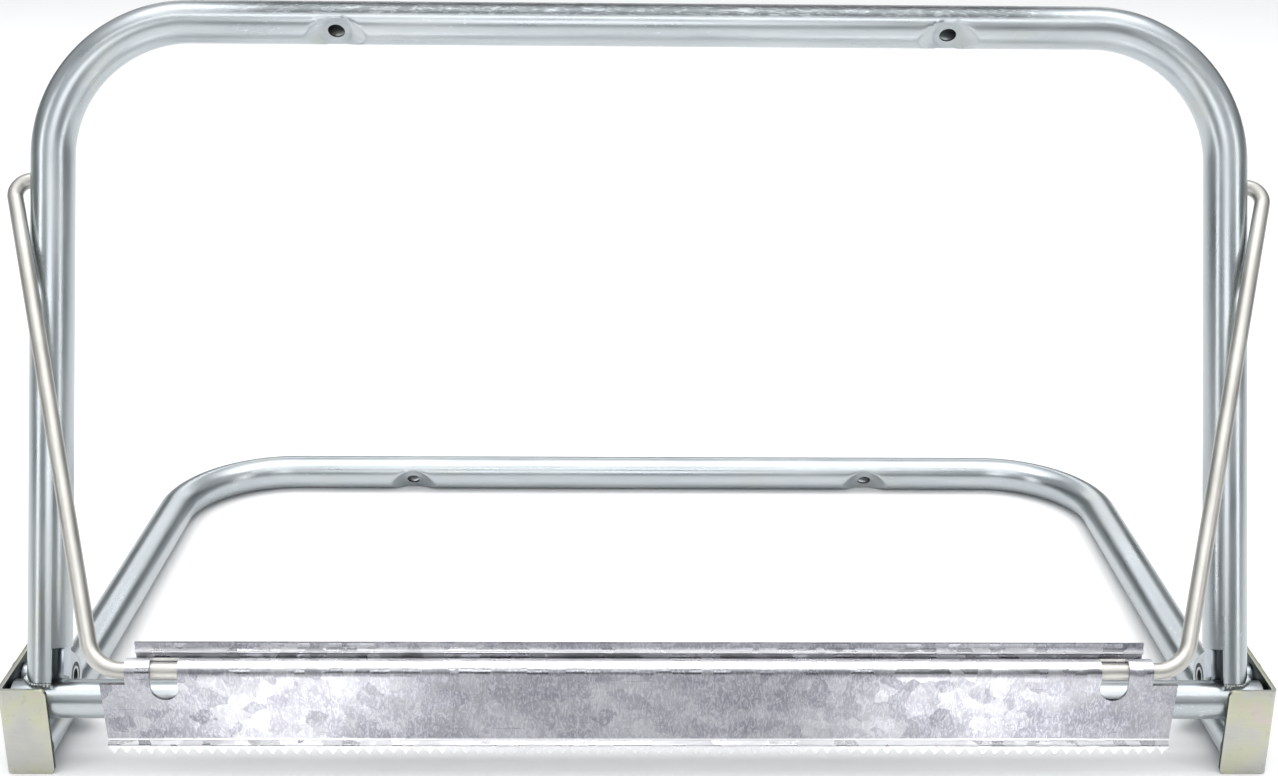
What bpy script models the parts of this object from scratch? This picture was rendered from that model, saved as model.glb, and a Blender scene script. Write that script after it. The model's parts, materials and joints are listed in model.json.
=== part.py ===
"""Folding sawhorse, lying open on its rear leg frame.

Two U-shaped tube frames meet at a hinge.  The rear frame lies on the floor and ends
in two sheet-metal end brackets.  The front frame is welded on a cross tube and turns
on two hollow pins in the brackets; opened, the cross tube rests on the rear legs.
A round-steel bail hangs on the front legs and carries a toothed sheet-metal jaw.

Metres, +Z up, +X to the right, +Y from the hinge towards the rear crossbar.
The origin is under the middle of the whole object, on the floor.
"""
from math import asin, cos, degrees, pi, radians, sin, sqrt, tan

import bmesh
import bpy
from mathutils import Matrix, Vector

# ---- leg frames -------------------------------------------------------------
TUBE_OUTER = 0.028
TUBE_WALL = 0.0015
FRAME_BEND = 0.088            # centreline radius of a frame's two corners
FRONT_LEG_X = 0.386           # leg axis to the middle, at the crossbar
FRONT_TOE_IN = 0.006          # how much nearer the middle a front leg is at the hinge
FRONT_REACH = 0.440           # cross tube axis to front crossbar axis
FRONT_LEG_END = 0.0115        # lower end of a front leg above the cross tube's axis
REAR_LEG_X = FRONT_LEG_X + 0.004
REAR_REACH = FRONT_REACH + 0.010   # cross tube axis to rear crossbar axis
OPEN_ANGLE = radians(67.5)    # between the two frames when they are open
CROSSBAR_HOLE = 0.011
CROSSBAR_HOLE_X = 0.200
# ---- cross tube -------------------------------------------------------------
CROSS_TUBE_OUTER = 0.025
CROSS_TUBE_WALL = 0.0015
CROSS_TUBE_END_PLAY = 0.0025  # to each bracket's outer flange
REST_GAP = 0.0004             # cross tube above the rear legs
# ---- end brackets -----------------------------------------------------------
PLATE = 0.003
WEB_WIDTH = 0.031
FOOT_DROP = 0.0045            # bracket's lower edge below the rear tube
BRACKET_HEIGHT = FOOT_DROP + TUBE_OUTER + CROSS_TUBE_OUTER + 0.003
BRACKET_BEND = 0.0045         # outer radius of the fold between web and flange
WEB_CORNER = 0.004
FLANGE_CORNER = 0.012
BOLT_BEHIND = 0.042           # bolt through rear leg and flange, from the cross tube's axis
FLANGE_LENGTH = BOLT_BEHIND + 0.020
WEB_GAP = 0.0014              # web to cross tube
SIDE_GAP = 0.0005             # flange to rear leg
FIT_GAP = 0.0004              # between pieces that are welded or pressed together
# ---- hinge lugs and pivots --------------------------------------------------
LUG = 0.004
LUG_INSET = 0.009             # how deep a lug's outer face stands in its leg
LUG_TOP = 0.033               # above the cross tube's axis, along the leg
LUG_FRONT = 0.001             # in front of the leg's axis
PIN_OUTER = 0.013
PIN_BORE = PIN_OUTER - 0.004
PIN_HEAD = PIN_OUTER + 0.006
PIN_HEAD_THICK = 0.0018
PIN_CLEARANCE = 0.0004
BUSH_OUTER = PIN_OUTER + 0.0036
LUG_EYE = BUSH_OUTER / 2 + 0.0047      # radius of the lug's round end
SPACER_OUTER = PIN_OUTER + 0.004
WASHER_OUTER = PIN_OUTER + 0.008
PIVOT_WASHER_THICK = 0.001
PIVOT_ALONG = 0.012           # pivot from the cross tube's axis, along the leg
PIVOT_BEHIND = TUBE_OUTER / 2 + SPACER_OUTER / 2 + 0.0015   # and behind the leg's axis
# ---- bracket bolts ----------------------------------------------------------
WASHER_THICK = 0.0016
BOLT = 0.008
BOLT_HEAD = 0.013             # across the flats
BOLT_HEAD_THICK = 0.0053
NUT_THICK = 0.0065
BOLT_OVERHANG = 0.004         # thread beyond the nut
# ---- bail -------------------------------------------------------------------
ROD = 0.010
BAIL_PIVOT = FRONT_REACH - 0.105    # bail's pivot from the cross tube's axis, along the leg
BAIL_CLEARANCE = 0.0004       # round the rod in its holes
BAIL_REST_GAP = 0.00135       # between the side rods and the front legs they lean on
BAIL_SIDE_X = FRONT_LEG_X + TUBE_OUTER / 2 + 0.011   # rod axis beside the front leg
BAIL_REACH = BAIL_PIVOT - 0.0135    # pivot to the rod that carries the jaw
BAIL_CORNER_X = FRONT_LEG_X - 0.064 # where the side rods would meet the jaw's rod
BAIL_HOOK_BEND = 0.010
BAIL_BEND = 0.022
BAIL_HOOK_END = 0.003         # hook's end to the inner wall of the leg
# ---- jaw --------------------------------------------------------------------
JAW_SHEET = 0.002
JAW_HALF = BAIL_CORNER_X - 0.005
BARREL_HALF = BAIL_CORNER_X - 0.020    # rolled edge, clear of the bail's bends
JAW_CLEARANCE = 0.0004        # between the rod and the rolled sheet
JAW_HANG = radians(7.0)       # lean of the hanging face, lower edge towards the rear
JAW_LENGTH = 0.054            # rod axis to the tips of the teeth
STEP_HEIGHT = JAW_LENGTH - 0.007    # rod axis to the step above the teeth
STEP = 0.0025
NOTCH_DEPTH = 0.005           # face's upper corners below the rod's axis
BACK_TURN = 0.008             # rolled edge below the rod's axis, behind it
TOOTH_COUNT = 88
TOOTH_HEIGHT = 0.005
TOOTH_ROOT_FLAT = 0.0012
TOOTH_TRIM = 0.0003           # cut off the tips
WINDOW_X = BARREL_HALF - 0.0225
WINDOW_WIDTH = 0.0165
WINDOW_BOTTOM = 0.016         # below the rod's axis
WINDOW_BACK = 0.0035          # behind the rod's axis, where the roll stays whole
# ---- strip behind the jaw ---------------------------------------------------
STRIP_SHEET = 0.0015
STRIP_HALF = BARREL_HALF - 0.004
STRIP_RISE = 0.0142           # above the rod's axis
STRIP_BEAD = 0.0022           # how far its bead stands proud
STRIP_BEAD_RISE = 0.0089
STRIP_BEAD_HALF = 0.0020
STRIP_GAP = 0.0003
# ---- mesh fineness ----------------------------------------------------------
TUBE_SIDES = 16
ROD_SIDES = 12
BEND_STEPS = 7
CUT_SIDES = 20
ARC_STEPS = 6
PAST = 0.002                  # how far a cutter runs beyond what it cuts

# ---- places that follow from the sizes --------------------------------------
TUBE_R = TUBE_OUTER / 2
CROSS_R = CROSS_TUBE_OUTER / 2
HINGE_TUBE_Z = FOOT_DROP + TUBE_R                    # rear leg's axis at the hinge
REAR_SLOPE = asin(FOOT_DROP / REAR_REACH)            # rear frame down to the floor
CROSS_Z = HINGE_TUBE_Z + TUBE_R + CROSS_R + REST_GAP
FLANGE_IN_X = REAR_LEG_X + TUBE_R + SIDE_GAP
FLANGE_OUT_X = FLANGE_IN_X + PLATE
CROSS_HALF = FLANGE_IN_X - CROSS_TUBE_END_PLAY
WEB_IN_Y = -(CROSS_R + WEB_GAP)
ALONG = Vector((0, cos(OPEN_ANGLE), sin(OPEN_ANGLE)))       # up the front legs
BEHIND = Vector((0, sin(OPEN_ANGLE), -cos(OPEN_ANGLE)))     # out of the front frame, rearwards
HINGE_LEG_X = FRONT_LEG_X - FRONT_TOE_IN


def bail_angle():
    """How far the bail stands out of the front frame's plane when its rods lean on the legs."""
    leg_slope = FRONT_TOE_IN / FRONT_REACH
    leg_x = FRONT_LEG_X - leg_slope * (FRONT_REACH - BAIL_PIVOT)
    beside = BAIL_SIDE_X - leg_x
    apart = TUBE_R + ROD / 2 + BAIL_REST_GAP
    slope = (BAIL_SIDE_X - BAIL_CORNER_X) / BAIL_REACH - leg_slope
    return asin(slope * apart / sqrt(beside ** 2 - apart ** 2))


BAIL_ANGLE = bail_angle()
LUG_OUT_X = HINGE_LEG_X - TUBE_R + LUG_INSET
LUG_IN_X = LUG_OUT_X - LUG
BAIL_DOWN = -cos(BAIL_ANGLE) * ALONG - sin(BAIL_ANGLE) * BEHIND
BARREL_IN = ROD / 2 + JAW_CLEARANCE
BARREL_MID = BARREL_IN + JAW_SHEET / 2


def front_y():
    """Foremost point of the jaw, measured from the cross tube's axis."""
    rod = BAIL_PIVOT * ALONG + BAIL_REACH * BAIL_DOWN
    return rod.y - BARREL_MID - JAW_SHEET / 2


# the object's middle lies halfway between the jaw's front and the rear crossbar's back
MIDDLE_Y = (front_y() + REAR_REACH * cos(REAR_SLOPE) + TUBE_R) / 2
HINGE = Vector((0, -MIDDLE_Y, CROSS_Z))                     # middle of the cross tube
PIVOT = HINGE + PIVOT_ALONG * ALONG + PIVOT_BEHIND * BEHIND


def on_front(x, along, behind=0.0):
    """A point of the front frame: x, up the legs, and behind its plane."""
    return HINGE + Vector((x, 0, 0)) + along * ALONG + behind * BEHIND


# ---- small tools ------------------------------------------------------------
def clear_scene():
    for old in list(bpy.data.objects):
        bpy.data.objects.remove(old, do_unlink=True)


def material(name, colour, roughness, metallic):
    mat = bpy.data.materials.new(name)
    mat.use_nodes = True
    shader = mat.node_tree.nodes["Principled BSDF"]
    shader.inputs["Base Color"].default_value = (*colour, 1.0)
    shader.inputs["Roughness"].default_value = roughness
    shader.inputs["Metallic"].default_value = metallic
    return mat


def add_object(name, bm, look, origin=(0, 0, 0), smooth=True):
    """Turn a bmesh in world coordinates into an object with the given origin."""
    bmesh.ops.translate(bm, verts=bm.verts, vec=-Vector(origin))
    bmesh.ops.recalc_face_normals(bm, faces=bm.faces)
    mesh = bpy.data.meshes.new(name)
    bm.to_mesh(mesh)
    bm.free()
    if smooth:
        mesh.shade_smooth()
        mesh.set_sharp_from_angle(angle=radians(35))
    obj = bpy.data.objects.new(name, mesh)
    obj.location = origin
    if look:
        mesh.materials.append(MATERIALS[look])
    bpy.context.scene.collection.objects.link(obj)
    return obj


def filleted(points, radii, steps=BEND_STEPS):
    """Polyline through points, its inner corners rounded with the given radii."""
    path = [Vector(points[0])]
    for before, corner, after, radius in zip(points, points[1:], points[2:], radii):
        to_before = (Vector(before) - corner).normalized()
        to_after = (Vector(after) - corner).normalized()
        half = to_before.angle(to_after) / 2
        centre = corner + (to_before + to_after).normalized() * radius / sin(half)
        first = corner + to_before * radius / tan(half) - centre
        last = corner + to_after * radius / tan(half) - centre
        axis = first.cross(last).normalized()
        for i in range(steps + 1):
            turn = Matrix.Rotation((pi - 2 * half) * i / steps, 3, axis)
            path.append(centre + turn @ first)
    path.append(Vector(points[-1]))
    return path


def rings_along(bm, path, radius, sides):
    """Rings of vertices round a flat path, one at each of its points."""
    normal = Vector()
    for a, b, c in zip(path, path[1:], path[2:]):
        normal += (b - a).cross(c - b)
    if normal.length < 1e-9:
        normal = (path[-1] - path[0]).orthogonal()
    normal.normalize()
    rings = []
    for i, point in enumerate(path):
        came = (point - path[max(i - 1, 0)]).normalized()
        goes = (path[min(i + 1, len(path) - 1)] - point).normalized()
        tangent = (came + goes).normalized()
        stretch = 1 / max(0.5, tangent.dot(goes if goes.length else came))
        side = tangent.cross(normal) * stretch
        ring = []
        for k in range(sides):
            angle = 2 * pi * (k + 0.5) / sides
            ring.append(bm.verts.new(point + radius * (cos(angle) * side + sin(angle) * normal)))
        rings.append(ring)
    return rings


def skin(bm, loops):
    """Quads between neighbouring loops of vertices."""
    for low, high in zip(loops, loops[1:]):
        for k in range(len(low)):
            n = (k + 1) % len(low)
            bm.faces.new((low[k], low[n], high[n], high[k]))


def tube_bmesh(path, outer, bore, sides=TUBE_SIDES):
    """Round stock along a path: hollow if it has a bore, with plain ends."""
    bm = bmesh.new()
    outside = rings_along(bm, path, outer / 2, sides)
    skin(bm, outside)
    if bore:
        inside = rings_along(bm, path, bore / 2, sides)
        skin(bm, inside)
        skin(bm, [outside[0], inside[0]])
        skin(bm, [outside[-1], inside[-1]])
    else:
        bm.faces.new(outside[0])
        bm.faces.new(outside[-1])
    return bm


def turned_bmesh(profile, centre, sides):
    """A body turned about the X axis through centre; profile is (x, radius) all round."""
    bm = bmesh.new()
    loops = []
    for x, radius in profile:
        ring = []
        for k in range(sides):
            angle = 2 * pi * k / sides
            place = Vector((x, centre.y + radius * cos(angle), centre.z + radius * sin(angle)))
            ring.append(bm.verts.new(place))
        loops.append(ring)
    skin(bm, loops + loops[:1])
    return bm


def prism_bmesh(outline, start, depth):
    """A flat outline of world points, pushed out by the vector depth."""
    bm = bmesh.new()
    near = [bm.verts.new(Vector(p) + Vector(start)) for p in outline]
    far = [bm.verts.new(v.co + Vector(depth)) for v in near]
    bm.faces.new(near)
    bm.faces.new(far)
    skin(bm, [near, far])
    return bm


def cut(obj, cutter_bm, name):
    """Take the cutter's shape out of obj."""
    cutter = add_object(name, cutter_bm, None, smooth=False)
    cutter.hide_render = True
    cutter.display_type = "WIRE"
    boolean = obj.modifiers.new(name, "BOOLEAN")
    boolean.operation = "DIFFERENCE"
    boolean.solver = "EXACT"
    boolean.object = cutter


def join(parts):
    """One bmesh from several."""
    whole = bmesh.new()
    for part in parts:
        mesh = bpy.data.meshes.new("joined")
        part.to_mesh(mesh)
        part.free()
        whole.from_mesh(mesh)
        bpy.data.meshes.remove(mesh)
    return whole


def round_cutter(start, end, diameter):
    return tube_bmesh([Vector(start), Vector(end)], diameter, None, CUT_SIDES)


# ---- leg frames -------------------------------------------------------------
def crossbar_cutters(bar, direction):
    """Drills for the two holes through a crossbar whose middle is bar."""
    reach = (TUBE_R + PAST) * direction
    holes = []
    for side in (-1, 1):
        middle = bar + Vector((side * CROSSBAR_HOLE_X, 0, 0))
        holes.append(round_cutter(middle - reach, middle + reach, CROSSBAR_HOLE))
    return holes


def bisector():
    """Direction halfway between the two frames, which the crossbar holes follow."""
    return Vector((0, cos(OPEN_ANGLE / 2), sin(OPEN_ANGLE / 2)))


def front_leg_frame():
    corners = [on_front(-HINGE_LEG_X, FRONT_LEG_END), on_front(-FRONT_LEG_X, FRONT_REACH),
               on_front(FRONT_LEG_X, FRONT_REACH), on_front(HINGE_LEG_X, FRONT_LEG_END)]
    path = filleted(corners, (FRAME_BEND, FRAME_BEND))
    frame = add_object("front_leg_frame", tube_bmesh(path, TUBE_OUTER, TUBE_OUTER - 2 * TUBE_WALL),
                       "zinc_tube", PIVOT)
    cope = round_cutter(HINGE - Vector((CROSS_HALF, 0, 0)), HINGE + Vector((CROSS_HALF, 0, 0)),
                        CROSS_TUBE_OUTER + 2 * FIT_GAP)
    cut(frame, cope, "cope_cutter")
    cut(frame, join(crossbar_cutters(on_front(0, FRONT_REACH), bisector())), "front_hole_cutter")
    bail_holes = []
    seats = []
    for side in (-1, 1):
        outside = on_front(side * (FRONT_LEG_X + TUBE_R + PAST), BAIL_PIVOT)
        inside = on_front(side * FRONT_LEG_X, BAIL_PIVOT)
        bail_holes.append(round_cutter(outside, inside, ROD + 2 * BAIL_CLEARANCE))
        seats.append(lug_seat(side))
    cut(frame, join(bail_holes), "bail_hole_cutter")
    cut(frame, join(seats), "lug_seat_cutter")
    return frame


def lug_seat(side):
    """The notch in a leg's inner side that its hinge lug stands in."""
    deep = TUBE_R + PAST
    outline = [on_front(0, -PAST, -deep), on_front(0, -PAST, deep),
               on_front(0, LUG_TOP + FIT_GAP, deep), on_front(0, LUG_TOP + FIT_GAP, -deep)]
    inner = HINGE_LEG_X - TUBE_R - PAST
    return prism_bmesh(outline, (side * inner, 0, 0), (side * (LUG_OUT_X + FIT_GAP - inner), 0, 0))


def rear_leg_frame():
    ends_y = WEB_IN_Y + FIT_GAP
    tip = Vector((0, cos(REAR_SLOPE), -sin(REAR_SLOPE)))
    start = Vector((0, HINGE.y, HINGE_TUBE_Z))

    def place(x, along):
        return start + Vector((x, 0, 0)) + along * tip

    corners = [place(-REAR_LEG_X, ends_y), place(-REAR_LEG_X, REAR_REACH),
               place(REAR_LEG_X, REAR_REACH), place(REAR_LEG_X, ends_y)]
    path = filleted(corners, (FRAME_BEND, FRAME_BEND))
    frame = add_object("rear_leg_frame", tube_bmesh(path, TUBE_OUTER, TUBE_OUTER - 2 * TUBE_WALL),
                       "zinc_tube")
    cut(frame, join(crossbar_cutters(place(0, REAR_REACH), bisector())), "rear_hole_cutter")
    bolts = []
    for side in (-1, 1):
        middle = bolt_centre(side)
        half = Vector((TUBE_R + PAST, 0, 0))
        bolts.append(round_cutter(middle - half, middle + half, BOLT + 2 * FIT_GAP))
    cut(frame, join(bolts), "bolt_hole_cutter")
    return frame


def bolt_centre(side):
    """Where a bracket bolt crosses its rear leg's axis."""
    drop = BOLT_BEHIND * tan(REAR_SLOPE)
    return Vector((side * REAR_LEG_X, HINGE.y + BOLT_BEHIND, HINGE_TUBE_Z - drop))


def cross_tube():
    ends = [HINGE - Vector((CROSS_HALF, 0, 0)), HINGE + Vector((CROSS_HALF, 0, 0))]
    bore = CROSS_TUBE_OUTER - 2 * CROSS_TUBE_WALL
    add_object("cross_tube", tube_bmesh(ends, CROSS_TUBE_OUTER, bore), "zinc_tube", PIVOT)


# ---- hinge ------------------------------------------------------------------
def arc(centre, radius, start, end, steps=ARC_STEPS):
    """Points of an arc in a plane, as (first, second) pairs; angles in degrees."""
    turns = [radians(start + (end - start) * i / steps) for i in range(steps + 1)]
    return [(centre[0] + radius * cos(t), centre[1] + radius * sin(t)) for t in turns]


def lug_outline():
    """The lug's edge as (behind, along) pairs, clear of the cross tube."""
    eye = (PIVOT_BEHIND, PIVOT_ALONG)
    cope = CROSS_R + FIT_GAP
    front_turn = 90 + degrees(asin(LUG_FRONT / cope))
    edge = arc((0, 0), cope, front_turn, 4)
    edge += arc(eye, LUG_EYE, -90, 60, 2 * ARC_STEPS)
    edge += [(LUG_EYE, LUG_TOP), (-LUG_FRONT, LUG_TOP)]
    return edge


def hinge_lug(name, side):
    """Plate in the notch of a front leg, with the eye that the pivot goes through."""
    outline = [on_front(0, along, behind) for behind, along in lug_outline()]
    bm = prism_bmesh(outline, (side * LUG_IN_X, 0, 0), (side * LUG, 0, 0))
    lug = add_object(name, bm, "zinc_plate", PIVOT + Vector((side * LUG_IN_X, 0, 0)))
    past = Vector((side * PAST, 0, 0))
    eye = PIVOT + Vector((side * LUG_IN_X, 0, 0))
    far = PIVOT + Vector((side * LUG_OUT_X, 0, 0))
    cut(lug, round_cutter(eye - past, far + past, BUSH_OUTER + 2 * FIT_GAP), name + "_cutter")


def bracket_stations():
    """Stations round the L: (outer x, y, inner x, y, lower z, upper z)."""
    web_out_y = WEB_IN_Y - PLATE
    free_x = FLANGE_OUT_X - WEB_WIDTH
    stations = []
    for x_step, z_step in arc((0, 0), WEB_CORNER, 180, 90, 4):
        x = free_x + WEB_CORNER + x_step
        rise = WEB_CORNER - z_step
        stations.append((x, web_out_y, x, WEB_IN_Y, rise, BRACKET_HEIGHT - rise))
    centre = (FLANGE_OUT_X - BRACKET_BEND, web_out_y + BRACKET_BEND)
    outer = arc(centre, BRACKET_BEND, -90, 0, 4)
    inner = arc(centre, BRACKET_BEND - PLATE, -90, 0, 4)
    stations += [(*far, *near, 0, BRACKET_HEIGHT) for far, near in zip(outer, inner)]
    for y_step, z_step in arc((0, 0), FLANGE_CORNER, 90, 0, 5):
        y = FLANGE_LENGTH - FLANGE_CORNER + y_step
        rise = FLANGE_CORNER - z_step
        stations.append((FLANGE_OUT_X, y, FLANGE_IN_X, y, rise / 3, BRACKET_HEIGHT - rise))
    return stations


def end_bracket(name, side):
    """Folded sheet: a web across the rear leg's end and a flange outside the leg."""
    bm = bmesh.new()
    loops = []
    for far_x, far_y, near_x, near_y, low, high in bracket_stations():
        far = Vector((side * far_x, HINGE.y + far_y, 0))
        near = Vector((side * near_x, HINGE.y + near_y, 0))
        corners = [far + Vector((0, 0, low)), far + Vector((0, 0, high)),
                   near + Vector((0, 0, high)), near + Vector((0, 0, low))]
        loops.append([bm.verts.new(place) for place in corners])
    skin(bm, loops)
    bm.faces.new(loops[0])
    bm.faces.new(loops[-1])
    bracket = add_object(name, bm, "yellow_zinc")
    bore = []
    for place, diameter in ((PIVOT, PIN_OUTER), (bolt_centre(side), BOLT)):
        near = Vector((side * (FLANGE_IN_X - PAST), place.y, place.z))
        far = Vector((side * (FLANGE_OUT_X + PAST), place.y, place.z))
        bore.append(round_cutter(near, far, diameter + 2 * FIT_GAP))
    cut(bracket, join(bore), name + "_cutter")


def pivot_pin(name, side):
    """Hollow pin with a flat head outside the bracket's washer."""
    head_in = FLANGE_OUT_X + PIVOT_WASHER_THICK + 2 * FIT_GAP
    head_out = head_in + PIN_HEAD_THICK
    shank, bore = PIN_OUTER / 2, PIN_BORE / 2
    profile = [(LUG_IN_X, bore), (LUG_IN_X, shank), (head_in, shank), (head_in, PIN_HEAD / 2),
               (head_out - 0.001, PIN_HEAD / 2), (head_out, PIN_HEAD / 2 - 0.001), (head_out, bore)]
    bm = turned_bmesh([(side * x, r) for x, r in profile], PIVOT, CUT_SIDES)
    add_object(name, bm, "dark_steel", PIVOT)


def ring_bmesh(side, near_x, far_x, bore, outer, centre):
    profile = [(near_x, bore / 2), (near_x, outer / 2), (far_x, outer / 2), (far_x, bore / 2)]
    return turned_bmesh([(side * x, r) for x, r in profile], centre, CUT_SIDES)


def pivot_rings(side, suffix):
    """Bush in the lug, spacer between lug and flange, washer outside the flange."""
    bore = PIN_OUTER + 2 * PIN_CLEARANCE
    bush = ring_bmesh(side, LUG_IN_X, LUG_OUT_X, bore, BUSH_OUTER, PIVOT)
    add_object("pivot_bush_" + suffix, bush, "black_nylon", PIVOT)
    spacer = ring_bmesh(side, LUG_OUT_X + 2 * FIT_GAP, FLANGE_IN_X - FIT_GAP, bore, SPACER_OUTER, PIVOT)
    add_object("pivot_spacer_" + suffix, spacer, "zinc_plate", PIVOT)
    near = FLANGE_OUT_X + FIT_GAP
    washer = ring_bmesh(side, near, near + PIVOT_WASHER_THICK, bore, WASHER_OUTER, PIVOT)
    add_object("pivot_washer_" + suffix, washer, "zinc_plate", PIVOT)


def hex_loop(centre, flats, x):
    radius = flats / 2 / cos(pi / 6)
    return [Vector((x, centre.y + radius * cos(pi * k / 3), centre.z + radius * sin(pi * k / 3)))
            for k in range(6)]


def bracket_fasteners(side, suffix):
    """Hex bolt through flange and rear leg, with a washer and a nut inside."""
    centre = bolt_centre(side)
    head_x = FLANGE_OUT_X + FIT_GAP
    washer_x = REAR_LEG_X - TUBE_R - FIT_GAP
    nut_x = washer_x - WASHER_THICK - FIT_GAP
    end_x = nut_x - NUT_THICK - BOLT_OVERHANG
    bm = bmesh.new()
    loops = []
    for x, flats in ((head_x + BOLT_HEAD_THICK, BOLT_HEAD), (head_x, BOLT_HEAD)):
        loops.append([bm.verts.new(p) for p in hex_loop(centre, flats, side * x)])
    for x in (head_x, end_x):
        loops.append([bm.verts.new(p) for p in hex_loop(centre, BOLT * cos(pi / 6), side * x)])
    skin(bm, loops)
    bm.faces.new(loops[0])
    bm.faces.new(loops[-1])
    add_object("bracket_bolt_" + suffix, bm, "zinc_plate", smooth=False)
    hole = BOLT + 2 * FIT_GAP
    washer = ring_bmesh(side, washer_x - WASHER_THICK, washer_x, hole, 2 * BOLT, centre)
    add_object("bracket_washer_" + suffix, washer, "zinc_plate")
    add_object("bracket_nut_" + suffix, nut_bmesh(centre, side, nut_x - NUT_THICK, nut_x, hole),
               "zinc_plate", smooth=False)


def nut_bmesh(centre, side, near_x, far_x, hole):
    """Hexagonal nut with a round bore of the same corner count."""
    bm = bmesh.new()
    loops = []
    for x, flats in ((near_x, hole * cos(pi / 6)), (near_x, BOLT_HEAD),
                     (far_x, BOLT_HEAD), (far_x, hole * cos(pi / 6))):
        loops.append([bm.verts.new(p) for p in hex_loop(centre, flats, side * x)])
    skin(bm, loops + loops[:1])
    return bm


# ---- bail and jaw -----------------------------------------------------------
def bail_axis():
    return on_front(0, BAIL_PIVOT)


def jaw_axis():
    return bail_axis() + BAIL_REACH * BAIL_DOWN


def bail_rod():
    hook_x = FRONT_LEG_X - TUBE_R + TUBE_WALL + BAIL_HOOK_END
    left, right = Vector((-1, 0, 0)), Vector((1, 0, 0))
    top, low = bail_axis(), jaw_axis()
    corners = [top + hook_x * left, top + BAIL_SIDE_X * left, low + BAIL_CORNER_X * left,
               low + BAIL_CORNER_X * right, top + BAIL_SIDE_X * right, top + hook_x * right]
    path = filleted(corners, (BAIL_HOOK_BEND, BAIL_BEND, BAIL_BEND, BAIL_HOOK_BEND), 6)
    add_object("bail_rod", rod_bmesh(path), "grey_rod", top)


def rod_bmesh(path):
    """Solid rod; the hooks and the side rods share no plane, so rings turn as they go."""
    bm = bmesh.new()
    rings = []
    side = None
    for i, point in enumerate(path):
        came = (point - path[max(i - 1, 0)]).normalized()
        goes = (path[min(i + 1, len(path) - 1)] - point).normalized()
        tangent = (came + goes).normalized()
        side = side or tangent.orthogonal().normalized()
        side = (side - side.dot(tangent) * tangent).normalized()
        other = tangent.cross(side)
        ring = []
        for k in range(ROD_SIDES):
            angle = 2 * pi * k / ROD_SIDES
            ring.append(bm.verts.new(point + ROD / 2 * (cos(angle) * side + sin(angle) * other)))
        rings.append(ring)
    skin(bm, rings)
    bm.faces.new(rings[0])
    bm.faces.new(rings[-1])
    return bm


def on_jaw(x, ahead, below):
    """A point of the hanging jaw: x, in front of the rod's axis, and below it."""
    lean = Matrix.Rotation(JAW_HANG, 3, "X")
    return jaw_axis() + lean @ Vector((x, -ahead, -below))


def thickened(line, thickness):
    """Both sides of a sheet's middle line, as one closed outline."""
    near, far = [], []
    for i, here in enumerate(line):
        here = Vector(here)
        came = (here - Vector(line[max(i - 1, 0)])).normalized()
        goes = (Vector(line[min(i + 1, len(line) - 1)]) - here).normalized()
        tangent = (came + goes).normalized()
        miter = thickness / 2 / tangent.dot(goes if goes.length else came)
        offset = Vector((-tangent.y, tangent.x)) * miter
        near.append(here + offset)
        far.append(here - offset)
    return near + far[::-1]


def sheet_bmesh(line, thickness, half):
    outline = [on_jaw(0, p.x, p.y) for p in thickened(line, thickness)]
    return prism_bmesh(outline, (-half, 0, 0), (2 * half, 0, 0))


def window_cutters():
    """Round-bottomed windows that show the rod, from the face over the top of the roll."""
    radius = WINDOW_WIDTH / 2
    high = BARREL_MID * 2
    cutters = []
    for side in (-1, 1):
        middle = side * WINDOW_X
        outline = arc((middle, WINDOW_BOTTOM - radius), radius, 0, 180, 8)
        outline += [(middle - radius, -high), (middle + radius, -high)]
        flat = [on_jaw(x, high, below) for x, below in outline]
        depth = on_jaw(0, -WINDOW_BACK, 0) - on_jaw(0, high, 0)
        cutters.append(prism_bmesh(flat, (0, 0, 0), depth))
    return cutters


def toothed_jaw():
    """Sheet rolled over the rod; its face hangs in front and ends in a row of teeth."""
    roll = arc((0, 0), BARREL_MID, 0, 180, 2 * ARC_STEPS)
    line = [(BARREL_MID + STEP, JAW_LENGTH), (BARREL_MID + STEP, STEP_HEIGHT + STEP / 2),
            (BARREL_MID, STEP_HEIGHT - STEP / 2)]
    line += [(ahead, -above) for ahead, above in roll]
    line.append((-BARREL_MID, BACK_TURN))
    jaw = add_object("toothed_jaw", sheet_bmesh(line, JAW_SHEET, JAW_HALF), "galvanised", jaw_axis())
    cut(jaw, tooth_comb(), "tooth_cutter")
    cut(jaw, join(corner_notches()), "notch_cutter")
    cut(jaw, join(window_cutters()), "window_cutter")


def tooth_comb():
    """Everything below the saw-toothed lower edge, as one zigzag block."""
    pitch = 2 * JAW_HALF / TOOTH_COUNT
    root = JAW_LENGTH - TOOTH_TRIM - TOOTH_HEIGHT
    ahead = BARREL_MID + STEP + JAW_SHEET / 2 + PAST
    edge = []
    for i in range(TOOTH_COUNT):
        x = -JAW_HALF + (i + 0.5) * pitch
        edge += [(x - pitch / 2 + TOOTH_ROOT_FLAT / 2, root), (x, root + TOOTH_HEIGHT),
                 (x + pitch / 2 - TOOTH_ROOT_FLAT / 2, root)]
    out = JAW_HALF + PAST
    below = JAW_LENGTH + PAST
    outline = [(-out, below), (-out, root)] + edge + [(out, root), (out, below)]
    depth = on_jaw(0, BARREL_MID - PAST, 0) - on_jaw(0, ahead, 0)
    return prism_bmesh([on_jaw(x, ahead, down) for x, down in outline], (0, 0, 0), depth)


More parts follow.
